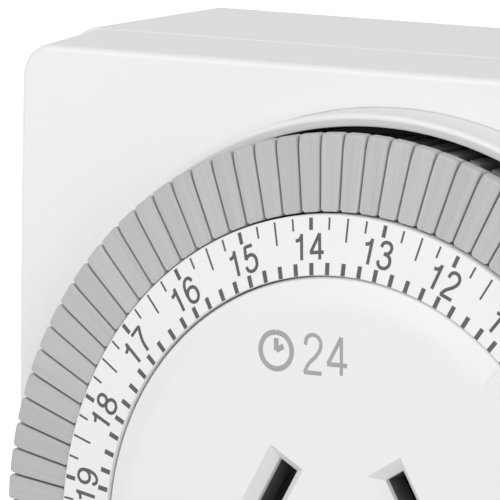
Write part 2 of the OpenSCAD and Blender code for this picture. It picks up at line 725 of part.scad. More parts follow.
module drive_arbor() {
    color("silver") stand_up() translate([drive_at[0], drive_at[1], motor_top_z - plate_t])
        cylinder(r = arbor_r, h = gear_top_z - motor_top_z + plate_t + slide_gap);
}

// A straight wire between two points
module wire(from, to) {
    run = to - from;
    translate(from) rotate([0, acos(run[2] / norm(run)), atan2(run[1], run[0])])
        cylinder(r = lead_r, h = norm(run));
}

module motor_leads() {
    color("navy") stand_up() for (end = [
        concat(beside(neutral_at, pin_t / 2 + strap_t + lead_r + slide_gap), [pin_in_z]),
        [active_at[0] + 1, active_at[1] - 2, pin_in_z + strap_t + lead_r + run_gap]]) {
        run = motor_at - [end[0], end[1]];
        start = motor_at - run / norm(run) * (motor_r + run_gap);
        wire([start[0], start[1], end[2]], end);
    }
}

module housing_screws() {
    color("silver") stand_up() at_corners(screw_x, screw_y) {
        difference() {
            translate([0, 0, recess_z - head_h]) cylinder(r = head_r, h = head_h);
            for (a = [0, 90]) rotate(a) bar([cross_w, cross_len, 2], recess_z - head_h - 1);
        }
        translate([0, 0, recess_z - 0.01]) cylinder(r = screw_r, h = front_z - wall - 2 - recess_z);
    }
}

// ---------- dial ----------

// A shallow cone with an eased edge beside the tappets and a step beside the socket face
module number_ring() {
    ease = 0.15;
    inner_z = ring_top_z + ring_rise;
    color("white") stand_up() rotate_extrude() polygon([
        [bore_r, ring_low_z], [drum_r, ring_low_z], [drum_r, ring_top_z - 2 * ease],
        [drum_r - ease / 2, ring_top_z - ease / 2], [drum_r - 2 * ease, ring_top_z],
        [step_r + ease, inner_z], [step_r, inner_z - ease],
        [step_r, rim_z - slide_gap], [bore_r, rim_z - slide_gap]]);
}

module dial_carrier() {
    color("darkslategray") stand_up() difference() {
        union() {
            translate([0, 0, gear_z]) rotate(gear_turn) linear_extrude(gear_top_z - gear_z + 0.01)
                polygon(gear_outline(ring_module, ring_teeth));
            rotate_extrude() polygon([
                [bore_r, gear_top_z], [bore_r + carrier_foot, gear_top_z],
                [bore_r + carrier_foot, flange_z - flange_t], [flange_r, flange_z - flange_t],
                [flange_r, flange_z], [drum_r, flange_z], [drum_r, ring_low_z],
                [drum_r - drum_t, ring_low_z], [drum_r - drum_t, flange_z],
                [bore_r + drum_t, flange_z], [bore_r + drum_t, ring_low_z], [bore_r, ring_low_z]]);
        }
        translate([0, 0, gear_z - 1]) cylinder(r = bore_r, h = dial_z);
        for (i = [0 : tappet_count - 1]) rotate(dial_turn + i * pitch)
            translate([tail_in_r - tail_gap, -tail_t / 2 - tail_gap, flange_z - flange_t - 1])
                cube([tail_out_r - tail_in_r + 2 * tail_gap, tail_t + 2 * tail_gap, flange_t + 2]);
    }
}

// One tappet, pointing along x: a wedge with a falling top, rounded outer corners, a tip that is
// cut back below its nose, and a tail that slides in the carrier's slot
module tappet() {
    half = 180 / tappet_count;
    inner = tappet_inner_r * tan(half) - tappet_gap / 2;
    outer = dial_r * tan(half) - tappet_gap / 2;
    corner_at = [dial_r - tip_round, outer - tip_round];
    rim = tip_round / 2;
    intersection() {
        translate([0, 0, head_z]) linear_extrude(tappet_h) polygon(concat(
            [[tappet_inner_r, heel - inner], [tappet_inner_r + heel, -inner]],
            [for (a = [-90 : 30 : 0]) [corner_at[0], -corner_at[1]] + tip_round * [cos(a), sin(a)]],
            [for (a = [0 : 30 : 90]) corner_at + tip_round * [cos(a), sin(a)]],
            [[tappet_inner_r + heel, inner], [tappet_inner_r, inner - heel]]));
        rotate([90, 0, 0]) linear_extrude(4 * outer, center = true) polygon([
            [tappet_inner_r, head_z], [dial_r - undercut, head_z],
            [dial_r - rim / 4, dial_z - nose_fall - rim], [dial_r, dial_z - nose_fall],
            [dial_r - rim / 2, dial_z - nose_fall + 1.5 * rim], [dial_r - 2 * rim, dial_z - tip_fall],
            [tappet_inner_r + heel, dial_z], [tappet_inner_r, dial_z - heel]]);
    }
    translate([tail_in_r, -tail_t / 2, tail_z]) cube([tail_out_r - tail_in_r, tail_t, head_z + 0.5 - tail_z]);
}

// The tappets of one hour
module tappets(hour) {
    color("darkgray") stand_up() for (i = [0 : tappets_per_hour - 1])
        rotate(dial_turn + (hour - 14) * 360 / hours + i * pitch) tappet();
}

function tappets_name(hour) = str("tappets_", hour < 10 ? "0" : "", hour);

rear_housing();
front_housing();
chassis();
socket_face();
contact_carrier();
active_pin();
neutral_pin();
earth_pin();
pin_sleeves();
active_contact();
neutral_contact();
earth_contact();
active_strap();
load_strap();
neutral_strap();
earth_strap();
fixed_contact();
leaf_terminal();
motor_can();
motor_coil();
motor_plate();
motor_rotor();
motor_pinion();
motor_screws();
motor_leads();
drive_gear();
drive_arbor();
follower_lever();
follower_pin();
switch_leaf();
moving_contact();
override_slide();
housing_screws();
number_ring();
dial_carrier();
for (hour = [0 : hours - 1])
    tappets(hour);
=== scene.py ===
# %% [markdown]
# # A plug-in timer switch, dressed in Blender
# The real object is a white moulded box that plugs into a wall outlet. A dial with 96 grey
# tappets turns once a day round a socket outlet in the middle of its front.
# A CAD model of it is loaded first and stays fixed. The pieces that the eye rests on are then
# modelled again with softer edges, each in the place of its CAD node, and the pieces inside
# keep their CAD shapes. At the end every one of them gets a material made of shader nodes.

# %% Load the CAD model
import json
import math

import bmesh
import bpy
from mathutils import Matrix, Vector


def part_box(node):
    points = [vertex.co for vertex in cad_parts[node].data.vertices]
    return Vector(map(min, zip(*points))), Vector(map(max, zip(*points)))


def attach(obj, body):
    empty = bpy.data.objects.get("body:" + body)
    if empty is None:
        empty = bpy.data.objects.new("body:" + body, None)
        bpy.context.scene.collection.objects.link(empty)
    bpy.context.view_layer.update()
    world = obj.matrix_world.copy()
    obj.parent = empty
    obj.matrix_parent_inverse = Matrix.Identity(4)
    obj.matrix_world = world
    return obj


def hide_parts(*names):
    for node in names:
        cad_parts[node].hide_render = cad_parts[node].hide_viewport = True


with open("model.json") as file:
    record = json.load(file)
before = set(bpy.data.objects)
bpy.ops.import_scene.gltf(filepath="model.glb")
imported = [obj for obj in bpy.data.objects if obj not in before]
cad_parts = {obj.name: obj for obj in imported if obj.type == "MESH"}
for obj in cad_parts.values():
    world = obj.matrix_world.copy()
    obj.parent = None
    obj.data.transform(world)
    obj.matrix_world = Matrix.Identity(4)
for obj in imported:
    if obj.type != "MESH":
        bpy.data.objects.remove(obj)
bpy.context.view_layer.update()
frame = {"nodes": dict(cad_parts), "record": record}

# %% [markdown]
# ## The measures that the pieces share
# Lengths are in metres, so mm below is one millimetre. The object stands with +Z up and faces
# -Y. Its origin is on the dial's axis in the plane of the wall, so a height above the wall is
# a distance along -Y. The outlet, the ring of numbers and the tappets all turn round the Y axis.

# %% Measures of the housing and the dial
mm = 0.001
body_w, body_h = 76.3 * mm, 76.9 * mm      # front face
draft = 0.6 * mm                           # how far the front shell widens on each side behind it
shell_step = 0.1 * mm                      # how far the rear shell stands proud of the front shell
rear_w, rear_h = body_w + 2 * draft + 2 * shell_step, body_h + 2 * draft + 2 * shell_step
front, parting, back_t = 28.9 * mm, 20.8 * mm, 2.2 * mm
wall, corner_r, crown = 2 * mm, 2.8 * mm, 0.4 * mm
well_r = 34.4 * mm                         # the round well that the dial turns in
dial_top = 37.05 * mm                      # top of the tappets beside the ring of numbers
dial_r, inner_r, head_low = 34.15 * mm, 27.85 * mm, 31.05 * mm   # the tappets' ends and undersides
face_r, face_edge, plateau_r, plateau = 22.7 * mm, 37.9 * mm, 20.5 * mm, 38.75 * mm
face_top = plateau - 0.012 * mm            # the print on the face then ends at plateau
dial_turn, top_hour = 97.3, 14             # the angle at which that hour stands, near the top
hours, tappets_per_hour = 24, 4
pitch = 360 / hours / tappets_per_hour
tiny = 0.001 * mm                          # places closer than this are the same
print("front face", body_w / mm, "x", body_h / mm, "mm, tappets", hours * tappets_per_hour)

# %% [markdown]
# ## Small helpers for modelling by hand
# Blender's modelling operators act on whatever is selected, so a lesson in code needs a sure
# way to select. One helper leaves a single object selected, and another picks the vertices,
# edges or faces of the mesh in edit mode that pass a test on their place or their normal.

# %% Select, edit, settle
def only(*objects):
    """Selects these objects alone and makes the last one active."""
    bpy.ops.object.select_all(action="DESELECT")
    for obj in objects:
        obj.select_set(True)
    bpy.context.view_layer.objects.active = objects[-1]


def edit(obj):
    only(obj)
    bpy.ops.object.mode_set(mode="EDIT")


def done():
    bpy.ops.object.mode_set(mode="OBJECT")


def pick(kind, keep):
    """In edit mode, selects the VERTs, EDGEs or FACEs for which keep(element) is true."""
    bpy.ops.mesh.select_mode(type=kind)
    bpy.ops.mesh.select_all(action="DESELECT")
    shape = bmesh.from_edit_mesh(bpy.context.object.data)
    parts = {"VERT": shape.verts, "EDGE": shape.edges, "FACE": shape.faces}[kind]
    chosen = [part for part in parts if keep(part)]
    for part in chosen:
        part.select_set(True)
    bmesh.update_edit_mesh(bpy.context.object.data)
    return len(chosen)


def settle(obj):
    """Puts an object's place, turn and scale into its mesh."""
    only(obj)
    bpy.ops.object.transform_apply(location=True, rotation=True, scale=True)
    return obj


def place(obj, x=0, y=0, z=0, turn=0):
    """Moves a piece, and turns it about Y: anticlockwise for someone who faces the dial."""
    obj.location, obj.rotation_euler = (x, y, z), (0, -math.radians(turn), 0)
    return settle(obj)


def block(name, size, centre, turn=0):
    """A box of a size (across, out of the wall, up) round a centre, turned about Y."""
    bpy.ops.mesh.primitive_cube_add(size=1, scale=size)
    box = settle(bpy.context.object)
    box.name = name
    return place(box, *centre, turn)


def rod(name, radius, low, high, x=0, z=0, steps=64):
    """A cylinder along Y between two heights above the wall."""
    bpy.ops.mesh.primitive_cylinder_add(vertices=steps, radius=radius, depth=high - low,
                                        location=(x, -(low + high) / 2, z), rotation=(math.pi / 2, 0, 0))
    cylinder = settle(bpy.context.object)
    cylinder.name = name
    return cylinder


print("helpers ready; mode is", bpy.context.mode)

# %% [markdown]
# A boolean joins or cuts solids as glue and drill would. The tool is thrown away afterwards.

# %% Join and cut solids
def combine(obj, tool, operation):
    only(obj)
    bpy.ops.object.modifier_add(type="BOOLEAN")
    change = obj.modifiers[-1]
    change.operation, change.object, change.solver = operation, tool, "EXACT"
    bpy.ops.object.modifier_apply(modifier=change.name)
    only(tool)
    bpy.ops.object.delete()
    return obj


def cut(obj, tool):
    return combine(obj, tool, "DIFFERENCE")


def join(obj, tool):
    return combine(obj, tool, "UNION")


print("boolean helpers ready")

# %% [markdown]
# ## Round pieces
# The ring of numbers, the bead round the well and the socket's face are all turned shapes. A
# potter would draw half of the section and spin it, and so does this helper: a plane is merged
# to one point, the point is extruded along the section, corners that a mould would leave round
# are bevelled, and the closed section is spun about the Y axis.

# %% Spin a section about the dial's axis
def lathe(name, section, turn=(0, 360), steps=180):
    """section lists (radius, height above the wall, rounding of that corner), going round."""
    bpy.ops.mesh.primitive_plane_add(size=mm, location=(section[0][0], -section[0][1], 0))
    piece = settle(bpy.context.object)
    piece.name = name
    edit(piece)
    pick("VERT", lambda v: True)
    bpy.ops.mesh.merge(type="CENTER")
    for (r0, h0, _), (r1, h1, _) in zip(section, section[1:]):
        bpy.ops.mesh.extrude_region_move(TRANSFORM_OT_translate={"value": (r1 - r0, h0 - h1, 0)})
    if all(r > tiny for r, _, _ in section):
        pick("VERT", lambda v: len(v.link_edges) == 1)
        bpy.ops.mesh.edge_face_add()
    for radius, height, rounding in section:
        if rounding:
            pick("VERT", lambda v: (v.co - Vector((radius, -height, 0))).length < tiny)
            bpy.ops.mesh.bevel(offset=rounding, segments=4, affect="VERTICES")
    bpy.ops.mesh.select_all(action="SELECT")
    bpy.ops.mesh.spin(steps=steps, angle=math.radians(turn[0] - turn[1]), center=(0, 0, 0), axis=(0, -1, 0))
    bpy.ops.mesh.select_all(action="SELECT")
    bpy.ops.mesh.remove_doubles(threshold=tiny / 2)
    if turn[1] - turn[0] < 360:
        pick("EDGE", lambda e: len(e.link_faces) == 1)
        bpy.ops.mesh.fill_holes(sides=0)
    bpy.ops.mesh.select_all(action="SELECT")
    bpy.ops.mesh.normals_make_consistent(inside=False)
    done()
    return place(piece, turn=turn[0])


print("lathe ready")

# %% [markdown]
# ## A block with round corners and crowned sides
# Both shells of the box are moulded with left and right sides that bulge a little at their
# middles, so that they look straight. A cube gets its four long edges bevelled, its sides are
# cut across by planes, and each cut is pushed out along a shallow curve.

# %% Crowned blocks
def crowned_block(name, width, height, low, high, corner):
    """A block between two heights above the wall, width and height being its largest sizes."""
    half_x, reach = width / 2 - crown, height / 2 - corner
    shell = block(name, (2 * half_x, high - low, height), (0, -(low + high) / 2, 0))
    edit(shell)
    pick("EDGE", lambda e: abs(e.verts[0].co.y - e.verts[1].co.y) > mm)
    bpy.ops.mesh.bevel(offset=corner, segments=8, affect="EDGES")
    levels = [i / 4 for i in range(-3, 4)]
    for level in levels:
        pick("FACE", lambda f: abs(f.normal.x) > 0.99)
        bpy.ops.mesh.bisect(plane_co=(0, 0, reach * level), plane_no=(0, 0, 1), threshold=tiny)
    for level in levels:
        push = crown * (1 - level ** 2)
        for side in (-1, 1):
            pick("VERT", lambda v: abs(v.co.z - reach * level) < tiny and side * v.co.x > half_x - tiny)
            bpy.ops.transform.translate(value=(side * push, 0, 0))
    done()
    return shell


def flare(shell, width, height, at, corner, out):
    """Widens a crowned block on every side at one height above the wall, and its corners with it."""
    centre_x, centre_z = width / 2 - crown - corner, height / 2 - corner
    grow = (corner + out) / corner
    edit(shell)
    for side in (-1, 1):
        pick("VERT", lambda v: abs(v.co.y + at) < tiny and side * v.co.x > 0
             and abs(v.co.z) < centre_z - tiny)
        bpy.ops.transform.translate(value=(side * out, 0, 0))
        for end in (-1, 1):
            pick("VERT", lambda v: abs(v.co.y + at) < tiny and side * v.co.x > 0
                 and end * v.co.z > centre_z - tiny)
            bpy.ops.transform.resize(value=(grow, 1, grow),
                                     center_override=(side * centre_x, 0, end * centre_z))
    done()


def soften_outline(shell, height, radius, steps):
    """Rounds the edge all round a crowned block at one height above the wall."""
    edit(shell)
    count = pick("EDGE", lambda e: all(abs(v.co.y + height) < tiny for v in e.verts)
                 and min(abs(f.normal.y) for f in e.link_faces) < 0.5)
    bpy.ops.mesh.bevel(offset=radius, segments=steps, affect="EDGES")
    done()
    return count


print("crowned blocks ready")

# %% [markdown]
# ## The front shell
# It is a shallow white tray, open at the back, with a round well for the dial and a raised
# bead round the well. The tray is a crowned block that widens towards the back, so that it
# leaves its mould, and a smaller one is cut out of it. The well's wall and the bead are one
# spun section: the bead's top falls towards the dial.

# %% Front shell
front_edge = 0.6 * mm                      # rounding of its edge
well_low, well_top, well_out = 24.75 * mm, front - 0.4 * mm, 35.9 * mm
hole_r = well_r + 0.6 * mm                 # inside the well's wall, which then covers the cut
bead_top, bead_foot, bead_lip = front + 3.6 * mm, 35.5 * mm, 34.3 * mm
line_w, line_depth = 0.06 * mm, 0.1 * mm   # a fine groove at the bead's foot
front_shell = crowned_block("front_shell", body_w, body_h, parting, front, corner_r)
flare(front_shell, body_w, body_h, parting, corner_r, draft)
rounded = soften_outline(front_shell, front, front_edge, 5)
cut(front_shell, crowned_block("room", body_w - 2 * wall, body_h - 2 * wall, parting - mm, front - wall,
                               corner_r - wall))
cut(front_shell, rod("well", hole_r, parting - mm, front + mm, steps=180))
join(front_shell, lathe("bead", [
    (well_r, well_low, 0), (well_out, well_low, 0), (well_out, well_top, 0), (bead_foot, well_top, 0),
    (bead_foot - 0.12 * mm, bead_top, 0.45 * mm), (34.9 * mm, bead_top - 0.03 * mm, 0.3 * mm),
    (bead_lip, bead_top - 0.16 * mm, 0.08 * mm), (bead_lip, bead_top - 1 * mm, 0.1 * mm),
    (well_r, bead_top - 1.2 * mm, 0)]))
cut(front_shell, lathe("joint_line", [
    (bead_foot, front - line_depth, 0), (bead_foot + line_w, front - line_depth, 0),
    (bead_foot + line_w, front + line_depth, 0), (bead_foot, front + line_depth, 0)]))
print("front shell:", len(front_shell.data.polygons), "faces,", rounded, "edges rounded")

# %% [markdown]
# ## The rear shell
# This is the deeper tray that meets the wall. It stands slightly proud of the front shell, so
# that a thin bright edge shows all round where the two part. Screws sit in round recesses at
# its corners, the plug's pins come out through it, and a window in its side is for the override.
# It is hollowed as the front shell is. What stands inside is joined after that, because the
# hollow would take it away again, and the holes that go through both are cut last.

# %% Rear shell
back_edge, rim_edge = 1.8 * mm, 0.35 * mm  # rounding of its back and of its rim
screw_inset = 5.3 * mm                     # from the outside to a screw's middle
boss_r, boss_top = 3.6 * mm, 17.15 * mm
recess_r, recess_depth, bore_r, bore_top = 2.85 * mm, 8 * mm, 1.55 * mm, 18 * mm
rear_shell = crowned_block("rear_shell", rear_w, rear_h, 0, parting, corner_r)
soften_outline(rear_shell, 0, back_edge, 6)
soften_outline(rear_shell, parting, rim_edge, 3)
cut(rear_shell, crowned_block("room", rear_w - 2 * wall, rear_h - 2 * wall, back_t, parting + mm,
                              corner_r - wall))
screw_x, screw_z = rear_w / 2 - crown - screw_inset, rear_h / 2 - screw_inset
corners = [(sx * screw_x, sz * screw_z) for sx in (-1, 1) for sz in (-1, 1)]
for x, z in corners:
    join(rear_shell, rod("boss", boss_r, back_t / 2, boss_top, x, z))
for x, z in corners:
    cut(rear_shell, rod("recess", recess_r, -mm, recess_depth, x, z))
    cut(rear_shell, rod("bore", bore_r, recess_depth - mm, bore_top, x, z))
print("rear shell:", len(rear_shell.data.polygons), "faces after the screw recesses")

# %% Openings of the rear shell
pin_places = [(-6.859, 3.96, -30), (6.859, 3.96, 30), (0, -10.31, 0)]   # x and z in mm, turn
pin_t, pin_w, pin_play = 1.63 * mm, 6.35 * mm, 0.12 * mm
pin_block_r, pin_block_top = 15.485 * mm, 5.6 * mm
pin_hole = (pin_t + pin_play, 9 * mm, pin_w + pin_play)
join(rear_shell, rod("pin_block", pin_block_r, back_t / 2, pin_block_top, steps=96))
for x, z, turn in pin_places:
    cut(rear_shell, block("slot", pin_hole, (x * mm, -2 * mm, z * mm), turn))
knob_low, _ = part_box("override_slide")
window_size, window_at = (6 * mm, 4 * mm, 10.4 * mm), (-rear_w / 2, -11 * mm, 13.72 * mm)
cut(rear_shell, block("window", window_size, window_at))
print("rear shell:", len(rear_shell.data.polygons), "faces; override slide reaches x",
      round(knob_low.x / mm, 2), "mm")

# %% [markdown]
# ## The ring of numbers
# A shallow white cone rises from the tappets to the socket's face. Its outer edge is eased and
# its inner edge is a small step. The hours are printed on it, so their shapes must lie on the
# slope of the cone: one function gives the cone's height at a radius.

# %% Ring of numbers
cone_out, cone_in, cone_end = (27.4 * mm, 37.53 * mm), (23.1 * mm, 38.21 * mm), 22.81 * mm
slope = math.atan2(cone_in[1] - cone_out[1], cone_out[0] - cone_in[0])


def cone_height(radius):
    return cone_out[1] + (cone_out[0] - radius) * math.tan(slope)


ring_in, ring_out, ring_low, ring_step = 20.35 * mm, 27.7 * mm, 35.85 * mm, 36.5 * mm
number_cone = lathe("number_cone", [
    (ring_in, ring_low, 0), (ring_out, ring_low, 0), (ring_out, cone_height(ring_out), 0.25 * mm),
    (cone_end, cone_height(cone_end), 0.12 * mm), (cone_end, ring_step, 0), (ring_in, ring_step, 0)])
print("number cone:", len(number_cone.data.polygons), "faces, slope",
      round(math.degrees(slope), 2), "degrees")

# %% [markdown]
# ## Tappets
# Each grey tappet is a small wedge that the user pushes in for a quarter of an hour of power.
# One is modelled: a box is narrowed towards the dial's centre, its top falls towards the tip,
# its tip is cut back under a nose, and every edge that a finger meets is rounded. It points
# along +X. It has few faces, because it is copied 96 times.

# %% Model one tappet
half_in, half_out = 0.832 * mm, 1.038 * mm   # half the width of each end
nose, undercut, tip_fall = 35.3 * mm, 1.35 * mm, 0.9 * mm
nose_round, side_round, heel_round, top_round = 0.32 * mm, 0.3 * mm, 0.2 * mm, 0.1 * mm
near = 0.1 * mm                              # slack when a place is looked for
tappet = block("tappet", (dial_r - inner_r, dial_top - head_low, 2 * half_out),
               ((dial_r + inner_r) / 2, -(dial_top + head_low) / 2, 0))
edit(tappet)
pick("VERT", lambda v: v.co.x < inner_r + tiny)
bpy.ops.transform.resize(value=(1, 1, half_in / half_out))
bpy.ops.mesh.select_all(action="SELECT")
bpy.ops.mesh.bisect(plane_co=(0, -nose, 0), plane_no=(0, 1, 0), threshold=tiny)
pick("VERT", lambda v: v.co.x > dial_r - tiny and v.co.y > -head_low - tiny)
bpy.ops.transform.translate(value=(-undercut, 0, 0))
pick("VERT", lambda v: v.co.x > dial_r - tiny and v.co.y < -dial_top + tiny)
bpy.ops.transform.translate(value=(0, tip_fall, 0))
pick("EDGE", lambda e: all(v.co.x > dial_r - near and v.co.y < -nose - near for v in e.verts))
bpy.ops.mesh.bevel(offset=nose_round, segments=3, affect="EDGES")
print("tappet:", len(tappet.data.polygons), "faces so far")

# %% Round its corners
def runs_across(e):
    return abs(e.verts[0].co.z - e.verts[1].co.z) > mm / 4


outer_part = 32 * mm
tail_size, tail_at = (4.35 * mm, 5.6 * mm, mm), (30.975 * mm, -28.75 * mm, 0)
pick("EDGE", lambda e: all(v.co.x > outer_part for v in e.verts) and not runs_across(e)
     and len(e.link_faces) == 2 and any(abs(f.normal.z) > 0.9 for f in e.link_faces))
bpy.ops.mesh.bevel(offset=side_round, segments=3, affect="EDGES")
pick("EDGE", lambda e: all(v.co.x < inner_r + tiny for v in e.verts) and not runs_across(e))
bpy.ops.mesh.bevel(offset=heel_round, segments=1, affect="EDGES")
pick("EDGE", lambda e: len(e.link_faces) == 2 and max(-f.normal.y for f in e.link_faces) > 0.97
     and e.calc_face_angle() > 0.6)
bpy.ops.mesh.bevel(offset=top_round, segments=2, affect="EDGES")
done()
tail = block("tail", tail_size, tail_at)
only(tail, tappet)
bpy.ops.object.join()
print("tappet:", len(tappet.data.polygons), "faces in all")

# %% [markdown]
# Copies share nothing with the first tappet: each gets its own mesh. Four copies make the
# piece for one hour, because an hour's four tappets are one node of the CAD model.

# %% Copy the tappets round the dial
def copies(piece, turns):
    """Copies of a piece, turned about the dial's axis, as a list of objects."""
    twins = []
    for turn in turns:
        twin = piece.copy()
        twin.data = piece.data.copy()
        bpy.context.collection.objects.link(twin)
        twin.rotation_euler = (0, -math.radians(turn), 0)
        twins.append(twin)
    return twins


def joined(name, pieces):
    """One object made of several, with its place in its mesh."""
    only(*pieces)
    bpy.ops.object.join()
    whole = settle(bpy.context.object)
    whole.name = name
    return whole


def discard(*pieces):
    only(*pieces)
    bpy.ops.object.delete()


def hour_angle(hour):
    return dial_turn + (hour - top_hour) * 360 / hours


keys = {}
for hour in range(hours):
    turns = [hour_angle(hour) + i * pitch for i in range(tappets_per_hour)]
    keys[hour] = joined(f"tappet_keys_{hour:02d}", copies(tappet, turns))
discard(tappet)
print("tappet pieces:", len(keys), "with", len(keys[0].data.polygons), "faces each")

# %% [markdown]
# ## The print on the ring
# Ticks beside the tappets mark the quarters, longer ones the half hours and thick ones the
# hours, and a row of short thick ticks runs round the inner edge. They are printed, so each is
# a very thin slab on the cone's slope. The whole print sits a little clockwise of the tappets.

# %% Ticks
print_turn, print_t = -0.67, 0.03 * mm
tick_out, tick_len, fine_w, bold_w = 27.47 * mm, 1.0 * mm, 0.17 * mm, 0.35 * mm


def tick(name, outer, length, width):
    """A slab that lies on the cone along +X, from its outer end inwards."""
    middle = outer - length / 2
    slab = block(name, (length, print_t, width), (0, 0, 0))
    slab.rotation_euler = (0, 0, slope)
    settle(slab)
    return place(slab, middle, -cone_height(middle), 0)


ticks = []
for kind, outer, length, width, firsts in (
        ("hour", tick_out, tick_len, bold_w, [0]),
        ("quarter", tick_out, tick_len, fine_w, [1, 3]),
        ("half", tick_out, 1.93 * mm, fine_w, [2]),
        ("inner", 23.85 * mm, tick_len, 0.39 * mm, [0, 1, 2, 3])):
    first = tick(kind, outer, length, width)
    turns = [hour_angle(hour) + print_turn + i * pitch for hour in range(hours) for i in firsts]
    ticks += copies(first, turns)
    discard(first)
dial_ticks = joined("dial_ticks", ticks)
print("ticks:", len(dial_ticks.data.polygons) // 6)

# %% [markdown]
# ## The numerals
# Plain numerals are drawn with strokes of one width, as with a round-nosed pen: each stroke is
# a curve with a bevel, turned into a mesh and pressed flat. A digit is modelled once and
# copied into every number that needs it. Digits are one unit tall until they are placed.
# Where strokes cross, each lies a hair above the one before, because two surfaces at the very
# same height would hide each other from the light.

# %% Strokes of the digits
strokes = {
    "0": [[(0.3, 1), (0.12, 0.86), (0.05, 0.5), (0.12, 0.14), (0.3, 0), (0.48, 0.14), (0.55, 0.5),
           (0.48, 0.86), (0.3, 1)]],
    "1": [[(0.38, 0), (0.38, 0.5), (0.38, 1)], [(0.38, 0.98), (0.35, 0.86), (0.25, 0.77), (0.12, 0.74)]],
    "2": [[(0.06, 0.72), (0.12, 0.92), (0.31, 1), (0.5, 0.9), (0.54, 0.7), (0.42, 0.48), (0.16, 0.22),
           (0.04, 0)],
          [(0.02, 0), (0.3, 0), (0.57, 0)]],
    "3": [[(0.06, 0.78), (0.13, 0.94), (0.3, 1), (0.48, 0.92), (0.52, 0.76), (0.43, 0.6), (0.24, 0.55)],
          [(0.24, 0.55), (0.47, 0.48), (0.56, 0.28), (0.48, 0.07), (0.29, 0), (0.1, 0.07), (0.03, 0.25)]],
    "4": [[(0.44, 0), (0.44, 0.5), (0.44, 1)], [(0.44, 1), (0.23, 0.63), (0.02, 0.27)],
          [(0, 0.27), (0.3, 0.27), (0.62, 0.27)]],
    "5": [[(0.5, 0.98), (0.33, 0.98), (0.15, 0.98)], [(0.15, 1), (0.12, 0.76), (0.09, 0.5)],
          [(0.09, 0.5), (0.2, 0.6), (0.34, 0.63), (0.5, 0.54), (0.56, 0.33), (0.48, 0.09), (0.28, 0),
           (0.1, 0.07), (0.03, 0.23)]],
    "6": [[(0.52, 0.8), (0.45, 0.95), (0.31, 1), (0.15, 0.9), (0.06, 0.64), (0.05, 0.36), (0.12, 0.1),
           (0.31, 0), (0.49, 0.09), (0.56, 0.31), (0.49, 0.53), (0.32, 0.61), (0.14, 0.53), (0.05, 0.36)]],
    "7": [[(0.03, 0.99), (0.3, 0.99), (0.57, 0.99)], [(0.57, 0.99), (0.4, 0.72), (0.27, 0.38), (0.22, 0)]],
    "8": [[(0.3, 0.54), (0.14, 0.61), (0.09, 0.77), (0.15, 0.93), (0.3, 1), (0.45, 0.93), (0.51, 0.77),
           (0.46, 0.61), (0.3, 0.54)],
          [(0.3, 0.54), (0.12, 0.45), (0.04, 0.27), (0.12, 0.07), (0.3, 0), (0.48, 0.07), (0.56, 0.27),
           (0.48, 0.45), (0.3, 0.54)]]}
strokes["9"] = [[(0.6 - x, 1 - y) for x, y in strokes["6"][0]]]
print("digits drawn:", "".join(sorted(strokes)))


# %% Turn strokes into flat digits
stroke_w, stroke_t, stroke_lift = 0.14, 0.03, 0.006


def pen(name, lines, width):
    """A flat mesh drawn with strokes of one width, upright and facing -Y. One unit is 1 m."""
    bpy.ops.curve.primitive_bezier_curve_add()
    drawing = bpy.context.object
    drawing.name = name
    curve = drawing.data
    curve.splines.clear()
    for i, line in enumerate(lines):
        spline = curve.splines.new("BEZIER")
        spline.bezier_points.add(len(line) - 1)
        for point, (x, y) in zip(spline.bezier_points, line):
            point.co = (x, y, stroke_lift * i)
            point.handle_left_type = point.handle_right_type = "AUTO"
    curve.bevel_depth, curve.bevel_resolution = width / 2, 1
    curve.resolution_u, curve.use_fill_caps = 5, True
    only(drawing)
    bpy.ops.object.convert(target="MESH")
    mesh_piece = bpy.context.object
    mesh_piece.scale = (1, 1, stroke_t / width)
    mesh_piece.rotation_euler = (math.pi / 2, 0, 0)
    return settle(mesh_piece)


digits = {name: pen("digit_" + name, lines, stroke_w) for name, lines in strokes.items()}
print("digit meshes:", {name: len(d.data.polygons) for name, d in digits.items()})

# %% Place the 24 numbers
tall, digit_base, number_shift = 2.11 * mm, 24.1 * mm, -0.26 * mm   # height, radius of the foot, shift
spacing, digit_middle, one_shift = 0.74, 0.3, 0.03                  # shares of a digit's height


def number(text, height, name, figures):
    """A number centred on the origin's Z axis, standing on it, made of copies of the figures."""
    parts = []
    for i, figure in enumerate(text):
        twin = copies(figures[figure], [0])[0]
        shift = one_shift if figure == "1" else 0
        twin.location.x = (i - (len(text) - 1) / 2) * spacing - digit_middle - shift
        parts.append(twin)
    whole = joined(name, parts)
    whole.scale = (height,) * 3
    return settle(whole)


numbers = []
for hour in range(1, hours + 1):
    label = number(str(hour), tall, f"number_{hour}", digits)
    label.rotation_euler = (-slope, 0, 0)
    settle(label)
    place(label, number_shift, -cone_height(digit_base), digit_base)
    numbers.append(place(label, turn=hour_angle(hour) + print_turn - 90))
dial_numbers = joined("dial_numbers", numbers)
print("numbers:", hours, "faces:", len(dial_numbers.data.polygons))

# %% [markdown]
# ## The socket's face
# A white disc with a bevelled rim stands a little above the ring. It is spun like the ring, with
# a short skirt below that sits in the hub. A raised tab on the rim serves as the pointer that
# the hours turn past. Its section is spun too, but only through a small part of the circle.

